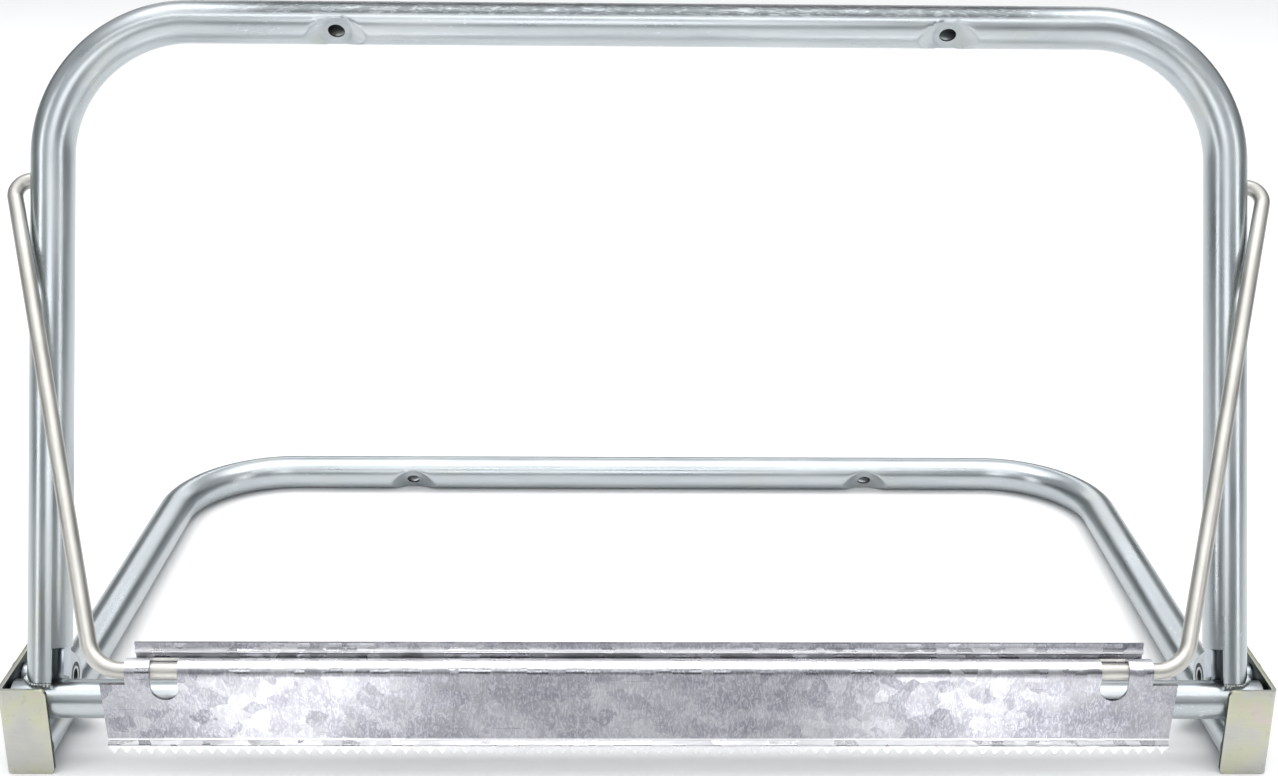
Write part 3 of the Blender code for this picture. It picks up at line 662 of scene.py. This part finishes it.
def thickened(line, thickness):
    near, far = [], []
    for i, here in enumerate(line):
        here = Vector(here)
        came = (here - Vector(line[max(i - 1, 0)])).normalized()
        goes = (Vector(line[min(i + 1, len(line) - 1)]) - here).normalized()
        tangent = (came + goes).normalized()
        miter = thickness / 2 / tangent.dot(goes if goes.length else came)
        offset = Vector((-tangent.y, tangent.x)) * miter
        near.append(here + offset)
        far.append(here - offset)
    return near + far[::-1]


def rounded_line(points, radius, steps=5):
    """A 2-D polyline with its corners rounded."""
    flat = [Vector((x, y, 0)) for x, y in points]
    return [(p.x, p.y) for p in filleted(flat, [radius] * (len(flat) - 2), steps)]


def sheet(name, line, thickness, half):
    outline = [on_jaw(0, p.x, p.y) for p in thickened(line, thickness)]
    return new_object(name, prism(outline, (-half, 0, 0), (2 * half, 0, 0)))


def window_cutters():
    """Round-bottomed windows that show the rod, from the face over the top of the roll."""
    radius = WINDOW_WIDTH / 2
    high = BARREL_MID * 2
    cutters = []
    for side in (-1, 1):
        middle = side * (ROLL_HALF - WINDOW_INSET)
        outline = arc((middle, WINDOW_BOTTOM - radius), radius, 0, 180, 24)
        outline += [(middle - radius, -high), (middle + radius, -high)]
        flat = [on_jaw(x, high, below) for x, below in outline]
        cutters.append(prism(flat, (0, 0, 0), on_jaw(0, -WINDOW_BACK, 0) - on_jaw(0, high, 0)))
    return cutters


def tooth_comb():
    pitch = 2 * JAW_HALF / TOOTH_COUNT
    root = JAW_LENGTH - 0.0003 - TOOTH_HEIGHT
    ahead = BARREL_MID + STEP + JAW_SHEET / 2 + PAST
    edge = []
    for i in range(TOOTH_COUNT):
        x = -JAW_HALF + (i + 0.5) * pitch
        edge += [(x - pitch / 2 + TOOTH_ROOT_FLAT / 2, root), (x, root + TOOTH_HEIGHT),
                 (x + pitch / 2 - TOOTH_ROOT_FLAT / 2, root)]
    out = JAW_HALF + PAST
    below = JAW_LENGTH + PAST
    outline = [(-out, below), (-out, root)] + edge + [(out, root), (out, below)]
    depth = on_jaw(0, BARREL_MID - PAST, 0) - on_jaw(0, ahead, 0)
    return prism([on_jaw(x, ahead, down) for x, down in outline], (0, 0, 0), depth)


def corner_notch(side):
    out = JAW_HALF + PAST
    high = 2 * BARREL_MID
    corners = [(high, -high), (high, NOTCH_DEPTH), (BARREL_IN - PAST / 2, NOTCH_DEPTH),
               (BARREL_IN - PAST / 2, BACK_TURN + PAST), (-high, BACK_TURN + PAST), (-high, -high)]
    flat = [on_jaw(side * ROLL_HALF, ahead, below) for ahead, below in corners]
    return prism(flat, (0, 0, 0), (side * (out - ROLL_HALF), 0, 0))


def toothed_jaw():
    step = [(BARREL_MID + STEP, JAW_LENGTH), (BARREL_MID + STEP, STEP_HEIGHT + STEP / 2),
            (BARREL_MID, STEP_HEIGHT - STEP / 2), (BARREL_MID, 0.01)]
    line = rounded_line(step, 0.0022)
    line += [(ahead, -above) for ahead, above in arc((0, 0), BARREL_MID, 0, 180, 2 * ARC)]
    line.append((-BARREL_MID, BACK_TURN))
    obj = sheet("jaw_plate", line, JAW_SHEET, JAW_HALF)
    carve(obj, [tooth_comb(), corner_notch(-1), corner_notch(1)] + window_cutters())
    finish_piece(obj, "galvanised", "jaw", "toothed_jaw")


def jaw_back_strip():
    back = -(BARREL_MID + JAW_SHEET / 2 + STRIP_GAP + STRIP_SHEET / 2)
    bead = STRIP_BEAD_RISE
    line = rounded_line([(back, BACK_TURN), (back, -(bead - STRIP_BEAD_HALF)), (back + STRIP_BEAD, -bead),
                         (back, -(bead + STRIP_BEAD_HALF)), (back, -STRIP_RISE)], 0.0008, 4)
    obj = sheet("jaw_ledge", line, STRIP_SHEET, STRIP_HALF)
    finish_piece(obj, "galvanised", "jaw", "jaw_back_strip")


# ---- materials --------------------------------------------------------------
class Look:
    """A Principled material and short ways to wire its nodes."""

    def __init__(self, name, metallic=1.0):
        self.mat = bpy.data.materials.new(name)
        self.mat.use_nodes = True
        self.nodes = self.mat.node_tree.nodes
        self.links = self.mat.node_tree.links
        self.shader = self.nodes["Principled BSDF"]
        self.shader.inputs["Metallic"].default_value = metallic

    def add(self, kind, settings=None, **sockets):
        node = self.nodes.new(kind)
        for key, value in (settings or {}).items():
            setattr(node, key, value)
        for key, value in sockets.items():
            self.put(node, key.replace("_", " "), value)
        return node

    def put(self, node, socket, value):
        if hasattr(value, "is_output"):
            self.links.new(value, node.inputs[socket])
        else:
            node.inputs[socket].default_value = value

    def coords(self, source, scale):
        """Texture coordinates, stretched by scale."""
        start = self.add("ShaderNodeTexCoord").outputs[source]
        return self.add("ShaderNodeMapping", Vector=start, Scale=scale).outputs["Vector"]

    def noise(self, where, scale=1.0, detail=4.0, roughness=0.55, distortion=0.0):
        node = self.add("ShaderNodeTexNoise", Vector=where, Scale=scale, Detail=detail,
                        Roughness=roughness, Distortion=distortion)
        return node.outputs["Fac"]

    def ramp(self, value, *stops):
        node = self.add("ShaderNodeValToRGB", Fac=value)
        ramp = node.color_ramp
        while len(ramp.elements) < len(stops):
            ramp.elements.new(1.0)
        for element, (place, colour) in zip(ramp.elements, stops):
            element.position = place
            if not hasattr(colour, "__len__"):
                colour = (colour, colour, colour)
            element.color = (*colour, 1.0)
        return node.outputs["Color"]

    def mix(self, share, first, second, blend="MIX"):
        node = self.nodes.new("ShaderNodeMix")
        node.data_type = "RGBA"
        node.blend_type = blend
        for socket, value in ((node.inputs[0], share), (node.inputs[6], first), (node.inputs[7], second)):
            if hasattr(value, "is_output"):
                self.links.new(value, socket)
            elif hasattr(value, "__len__"):
                socket.default_value = (*value, 1.0)
            else:
                socket.default_value = value
        return node.outputs[2]

    def bump(self, height, strength, distance=0.001, normal=None):
        node = self.add("ShaderNodeBump", Height=height, Strength=strength, Distance=distance)
        if normal:
            self.links.new(normal, node.inputs["Normal"])
        return node.outputs["Normal"]

    def done(self, colour, roughness, normal):
        self.put(self.shader, "Base Color", colour)
        self.put(self.shader, "Roughness", roughness)
        self.put(self.shader, "Normal", normal)
        return self.mat


def between(look, value, low, high):
    """0 below low and 1 above high."""
    share = look.add("ShaderNodeMapRange")
    look.links.new(value, share.inputs["Value"])
    share.inputs["From Min"].default_value = low
    share.inputs["From Max"].default_value = high
    return share.outputs["Result"]


def top_of_crossbar(look):
    """1 on the front crossbar's upper side between its bends, which the photo shows darker."""
    place = look.add("ShaderNodeSeparateXYZ", Vector=look.add("ShaderNodeTexCoord").outputs["Object"])
    distance = look.add("ShaderNodeMath", {"operation": "ABSOLUTE"})
    look.links.new(place.outputs["X"], distance.inputs[0])
    inside = look.ramp(between(look, distance.outputs[0], *DARK_TOP_ENDS), (0.0, 1.0), (1.0, 0.0))
    return look.mix(1.0, inside, between(look, place.outputs["Z"], *DARK_TOP), "MULTIPLY")


def zinc_tube_look():
    """Bright drawn tube: fine lines along it, scuffs, faint yellowish stains, one dark top."""
    look = Look("zinc_tube")
    lines = look.noise(look.coords("UV", (900, 7, 1)), 1.0, 3)
    soft = look.noise(look.coords("UV", (60, 9, 1)), 1.0, 4)
    cloud = look.noise(look.coords("Object", (16, 16, 16)), 1.0, 5)
    scuffs = look.noise(look.coords("UV", (380, 90, 1)), 1.0, 6, 0.7, 1.4)
    scuff = look.ramp(scuffs, (0.60, 0.0), (0.68, 1.0))
    place = look.ramp(look.noise(look.coords("Object", (7, 7, 7)), 1.0, 3), (0.50, 0.0), (0.62, 1.0))
    scuff = look.mix(1.0, scuff, place, "MULTIPLY")
    colour = look.ramp(soft, (0.30, (0.41, 0.445, 0.465)), (0.52, (0.48, 0.515, 0.535)),
                       (0.75, (0.56, 0.585, 0.60)))
    stain = look.ramp(cloud, (0.58, 0.0), (0.72, 0.45))
    colour = look.mix(stain, colour, (0.52, 0.51, 0.42))
    colour = look.mix(scuff, colour, (0.70, 0.73, 0.75))
    patchy = look.ramp(scuffs, (0.34, 0.55), (0.52, 0.95))
    dark = look.mix(1.0, top_of_crossbar(look), patchy, "MULTIPLY")
    colour = look.mix(dark, colour, (0.09, 0.10, 0.105))
    roughness = look.ramp(soft, (0.3, 0.25), (0.7, 0.37))
    roughness = look.mix(scuff, roughness, (0.36, 0.36, 0.36))
    normal = look.bump(lines, 0.10, 0.0002)
    normal = look.bump(scuffs, 0.05, 0.0003, normal)
    return look.done(colour, roughness, normal)


def zinc_plate_look():
    look = Look("zinc_plate")
    cloud = look.noise(look.coords("Object", (45, 45, 45)), 1.0, 5)
    grain = look.noise(look.coords("Object", (700, 700, 700)), 1.0, 3)
    colour = look.ramp(cloud, (0.3, (0.36, 0.41, 0.45)), (0.6, (0.46, 0.50, 0.54)), (0.8, (0.52, 0.54, 0.53)))
    roughness = look.ramp(cloud, (0.3, 0.24), (0.7, 0.38))
    return look.done(colour, roughness, look.bump(grain, 0.12, 0.0002))


def weld_look():
    look = Look("weld")
    cloud = look.noise(look.coords("Object", (260, 260, 260)), 1.0, 4)
    colour = look.ramp(cloud, (0.35, (0.30, 0.33, 0.33)), (0.65, (0.62, 0.65, 0.66)))
    roughness = look.ramp(cloud, (0.3, 0.22), (0.7, 0.42))
    return look.done(colour, roughness, look.bump(cloud, 0.4, 0.0004))


def outward_share(look, inward):
    """0 where a bracket's face looks to the middle of the object, 1 elsewhere; this places the painted shade
    on the inner side.
    """
    return between(look, inward.outputs[0], -0.35, -0.15)


def yellow_zinc_look():
    """Yellow-passivated plate: olive and pinkish clouds, grain, smudges, and painted shade on the inner side.
    """
    look = Look("yellow_zinc")
    wide = look.noise(look.coords("Object", (22, 22, 30)), 1.0, 2, 0.5, 0.6)
    grain = look.noise(look.coords("Object", (90, 90, 900)), 1.0, 4)
    smudge = look.ramp(look.noise(look.coords("Object", (170, 170, 170)), 1.0, 4), (0.62, 0.0), (0.72, 0.5))
    colour = look.ramp(wide, (0.34, (0.47, 0.47, 0.45)), (0.48, (0.51, 0.51, 0.45)),
                       (0.58, (0.52, 0.53, 0.40)), (0.68, (0.55, 0.50, 0.45)))
    colour = look.mix(smudge, colour, (0.36, 0.36, 0.34))
    side = look.add("ShaderNodeSeparateXYZ", Vector=look.add("ShaderNodeTexCoord").outputs["Normal"])
    place = look.add("ShaderNodeSeparateXYZ", Vector=look.add("ShaderNodeTexCoord").outputs["Object"])
    inward = look.add("ShaderNodeMath", {"operation": "MULTIPLY"})
    look.links.new(side.outputs["X"], inward.inputs[0])
    look.links.new(place.outputs["X"], inward.inputs[1])
    # painted shade: near-black on the brackets' faces that look to the middle of the object
    inner_side_painted_shade = look.ramp(outward_share(look, inward), (0.0, 1.0), (0.6, 0.0))
    colour = look.mix(inner_side_painted_shade, colour, (0.045, 0.06, 0.055))
    roughness = look.ramp(grain, (0.3, 0.34), (0.7, 0.50))
    return look.done(colour, roughness, look.bump(grain, 0.08, 0.0002))


def dark_steel_look():
    look = Look("dark_steel")
    rings = look.noise(look.coords("Object", (500, 120, 120)), 1.0, 3)
    colour = look.ramp(rings, (0.3, (0.36, 0.38, 0.39)), (0.7, (0.52, 0.54, 0.55)))
    roughness = look.ramp(rings, (0.3, 0.24), (0.7, 0.38))
    return look.done(colour, roughness, look.bump(rings, 0.1, 0.0002))


def black_nylon_look():
    look = Look("black_nylon", 0.0)
    grain = look.noise(look.coords("Object", (600, 600, 600)), 1.0, 3)
    colour = look.ramp(grain, (0.3, (0.014, 0.014, 0.015)), (0.7, (0.028, 0.028, 0.028)))
    roughness = look.ramp(grain, (0.3, 0.42), (0.7, 0.58))
    return look.done(colour, roughness, look.bump(grain, 0.15, 0.0002))


def grey_rod_look():
    """Drawn rod with a dull, slightly warm zinc finish and long faint drawing lines."""
    look = Look("grey_rod")
    lines = look.noise(look.coords("UV", (1400, 12, 1)), 1.0, 3)
    cloud = look.noise(look.coords("UV", (70, 22, 1)), 1.0, 4)
    colour = look.ramp(cloud, (0.30, (0.42, 0.41, 0.38)), (0.55, (0.52, 0.51, 0.48)),
                       (0.78, (0.60, 0.60, 0.57)))
    colour = look.mix(look.ramp(lines, (0.60, 0.0), (0.75, 0.45)), colour, (0.33, 0.32, 0.29))
    roughness = look.ramp(cloud, (0.3, 0.38), (0.7, 0.48))
    return look.done(colour, roughness, look.bump(lines, 0.14, 0.0002))


def galvanised_look():
    """Hot-dip sheet: leafy crystals, short scratches, and painted highlight stripes by the teeth and the
    roll.

    The stripes are placed by height at rest. They are painted highlights: lighter colour standing in for
    glints along the teeth, the top of the roll and the strip's bead.
    """
    look = Look("galvanised")
    where = look.coords("Object", (1, 1, 1))
    warp = look.add("ShaderNodeTexNoise", Vector=where, Scale=120.0, Detail=4.0).outputs["Color"]
    bent = look.add("ShaderNodeVectorMath", {"operation": "SCALE"}, Scale=0.008)
    look.links.new(warp, bent.inputs[0])
    moved = look.add("ShaderNodeVectorMath", {"operation": "ADD"})
    look.links.new(where, moved.inputs[0])
    look.links.new(bent.outputs[0], moved.inputs[1])
    crystal = look.add("ShaderNodeTexVoronoi", Vector=moved.outputs[0], Scale=105.0, Randomness=1.0)
    cell = crystal.outputs["Color"]
    fern = look.noise(look.coords("Object", (420, 420, 150)), 1.0, 4, 0.6, 2.0)
    parts = look.add("ShaderNodeSeparateColor", Color=cell)
    colour = look.ramp(parts.outputs[0], (0.0, (0.25, 0.25, 0.28)), (0.35, (0.31, 0.31, 0.335)),
                       (0.7, (0.37, 0.37, 0.39)), (1.0, (0.29, 0.285, 0.315)))
    dull = look.ramp(look.noise(look.coords("Object", (14, 14, 22)), 1.0, 3), (0.40, 0.5), (0.55, 0.0))
    colour = look.mix(dull, colour, (0.14, 0.14, 0.17))
    colour = look.mix(look.ramp(fern, (0.46, 0.0), (0.62, 0.45)), colour, (0.52, 0.53, 0.56))
    scratch = look.noise(look.coords("Object", (40, 40, 700)), 1.0, 5, 0.7, 1.0)
    scratch = look.ramp(scratch, (0.63, 0.0), (0.69, 0.8))
    colour = look.mix(scratch, colour, (0.13, 0.13, 0.16))
    height = look.add("ShaderNodeSeparateXYZ", Vector=where).outputs["Z"]
    # painted highlight: lighter colour in two stripes, one over the teeth and one along the top of the roll
    # and the strip's bead
    painted_highlight = look.ramp(between(look, height, *PAINTED_HIGHLIGHT_HEIGHTS), (0.0, 0.8), (0.13, 0.8), (0.145, 0.0),
                      (0.83, 0.0), (0.85, 0.85), (0.925, 0.85), (0.94, 0.0))
    colour = look.mix(painted_highlight, colour, (0.80, 0.80, 0.82))
    roughness = look.ramp(parts.outputs[1], (0.0, 0.18), (1.0, 0.42))
    centred = look.add("ShaderNodeVectorMath", {"operation": "SUBTRACT"})
    look.links.new(cell, centred.inputs[0])
    centred.inputs[1].default_value = (0.5, 0.5, 0.5)
    tilt = look.add("ShaderNodeVectorMath", {"operation": "SCALE"}, Scale=0.13)
    look.links.new(centred.outputs[0], tilt.inputs[0])
    facing = look.add("ShaderNodeNewGeometry").outputs["Normal"]
    leaning = look.add("ShaderNodeVectorMath", {"operation": "ADD"})
    look.links.new(facing, leaning.inputs[0])
    look.links.new(tilt.outputs[0], leaning.inputs[1])
    normal = look.add("ShaderNodeVectorMath", {"operation": "NORMALIZE"})
    look.links.new(leaning.outputs[0], normal.inputs[0])
    return look.done(colour, roughness, look.bump(fern, 0.16, 0.0004, normal.outputs[0]))


def floor_look():
    look = Look("floor", 0.0)
    cloud = look.noise(look.coords("Object", (3, 3, 3)), 1.0, 2)
    colour = look.ramp(cloud, (0.3, (0.90, 0.90, 0.90)), (0.7, (0.92, 0.92, 0.92)))
    look.put(look.shader, "Base Color", colour)
    look.shader.inputs["Roughness"].default_value = 0.9
    look.shader.inputs["Specular IOR Level"].default_value = 0.1
    return look.mat


# ---- floor, light and camera ------------------------------------------------
def floor():
    bm = bmesh.new()
    corners = [(-14, -14, 0), (14, -14, 0), (14, 14, 0), (-14, 14, 0)]
    bm.faces.new([bm.verts.new(p) for p in corners])
    obj = new_object("floor", bm)
    obj.data.materials.append(floor_look())
    obj.location.z = -0.0002


def softbox(name, place, target, size, power):
    light = bpy.data.lights.new(name, "AREA")
    light.shape = "RECTANGLE"
    light.size, light.size_y = size
    light.energy = power
    obj = bpy.data.objects.new(name, light)
    obj.location = place
    aim = Vector(target) - Vector(place)
    obj.rotation_mode = "QUATERNION"
    obj.rotation_quaternion = aim.to_track_quat("-Z", "Y")
    bpy.context.scene.collection.objects.link(obj)


POOL_X = 0.235                # two narrow spots light the floor that the jaw mirrors
POOL_AHEAD = 0.13
POOL_HEIGHT = 1.6


def studio():
    """White room with a darker band near the horizon, soft boxes, a weak sun and two spots."""
    world = bpy.data.worlds.new("studio")
    bpy.context.scene.world = world
    world.use_nodes = True
    nodes, links = world.node_tree.nodes, world.node_tree.links
    back = nodes["Background"]
    split = nodes.new("ShaderNodeSeparateXYZ")
    links.new(nodes.new("ShaderNodeTexCoord").outputs["Generated"], split.inputs[0])
    ramp = nodes.new("ShaderNodeValToRGB")
    links.new(split.outputs["Z"], ramp.inputs["Fac"])
    stops = ((0.0, (0.42, 0.45, 0.45)), (0.12, (0.36, 0.39, 0.39)), (0.17, (0.07, 0.08, 0.08)),
             (0.28, (0.08, 0.09, 0.09)), (0.36, (0.50, 0.52, 0.54)), (0.62, (0.74, 0.76, 0.78)),
             (0.70, (0.42, 0.43, 0.44)), (0.78, (0.80, 0.81, 0.83)), (1.0, (0.94, 0.95, 0.96)))
    while len(ramp.color_ramp.elements) < len(stops):
        ramp.color_ramp.elements.new(1.0)
    for element, (place, colour) in zip(ramp.color_ramp.elements, stops):
        element.position = place
        element.color = (*colour, 1.0)
    links.new(ramp.outputs["Color"], back.inputs["Color"])
    back.inputs["Strength"].default_value = 0.8
    aim = (0, 0, 0.2)
    softbox("box_front", (-0.2, -2.9, 1.5), aim, (1.3, 0.9), 10)
    softbox("box_left", (-2.4, -1.6, 1.1), aim, (0.5, 1.7), 10)
    softbox("box_right", (2.4, -1.6, 1.1), aim, (0.5, 1.7), 10)
    softbox("box_top", (0, 0.2, 2.7), aim, (2.6, 0.8), 20)
    softbox("box_over", (0, -1.67, 2.2), aim, (2.6, 0.3), 10)
    softbox("box_rear", (0, 2.8, 1.5), aim, (2.8, 0.4), 10)
    sun = bpy.data.lights.new("ceiling", "SUN")
    sun.energy = 1.3
    sun.angle = radians(70)
    ceiling = bpy.data.objects.new("ceiling", sun)
    bpy.context.scene.collection.objects.link(ceiling)
    for side in (-1, 1):
        spot = bpy.data.lights.new("pool", "SPOT")
        spot.energy = 260
        spot.spot_size = radians(7.5)
        spot.spot_blend = 1.0
        spot.shadow_soft_size = 0.05
        pool = bpy.data.objects.new("pool", spot)
        pool.location = (side * POOL_X, JAW_AXIS.y - POOL_AHEAD, POOL_HEIGHT)
        bpy.context.scene.collection.objects.link(pool)


CAMERA_PITCH = radians(20.19)  # below level
CAMERA_TURN = radians(-1.013)  # about the hinge, seen from above
CAMERA_ROLL = radians(0.566)
CAMERA_BACK = 1.1461          # from the cross tube's axis, along the view
CAMERA_UP = 0.2013            # cross tube's axis below the middle of the view
CAMERA_SIDE = 0.0129
CAMERA_LENS = 49.9
CAMERA_SHIFT = -0.0192        # of the picture's width


def camera():
    data = bpy.data.cameras.new("camera")
    data.lens = CAMERA_LENS
    data.sensor_width = 36
    data.shift_x = CAMERA_SHIFT
    obj = bpy.data.objects.new("camera", data)
    look = Vector((0, cos(CAMERA_PITCH), -sin(CAMERA_PITCH)))
    up = Vector((0, sin(CAMERA_PITCH), cos(CAMERA_PITCH)))
    turn = Matrix.Rotation(CAMERA_TURN, 4, "Z")
    obj.location = HINGE + turn @ (CAMERA_UP * up - CAMERA_BACK * look + Vector((CAMERA_SIDE, 0, 0)))
    facing = turn @ Matrix.Rotation(pi / 2 - CAMERA_PITCH, 4, "X") @ Matrix.Rotation(CAMERA_ROLL, 4, "Z")
    obj.rotation_euler = facing.to_euler()
    bpy.context.scene.collection.objects.link(obj)
    bpy.context.scene.camera = obj


LOOKS = {
    "zinc_tube": zinc_tube_look(),
    "zinc_plate": zinc_plate_look(),
    "weld": weld_look(),
    "yellow_zinc": yellow_zinc_look(),
    "dark_steel": dark_steel_look(),
    "black_nylon": black_nylon_look(),
    "grey_rod": grey_rod_look(),
    "galvanised": galvanised_look(),
}
front_leg_frame()
rear_leg_frame()
cross_tube()
leg_welds()
for side, word in ((-1, "left"), (1, "right")):
    hinge_lug(word, side)
    end_bracket(word, side)
    pivot_parts(word, side)
    bracket_fasteners(word, side)
bail_rod()
toothed_jaw()
jaw_back_strip()
floor()
studio()
camera()
bpy.context.scene.view_settings.view_transform = "Standard"
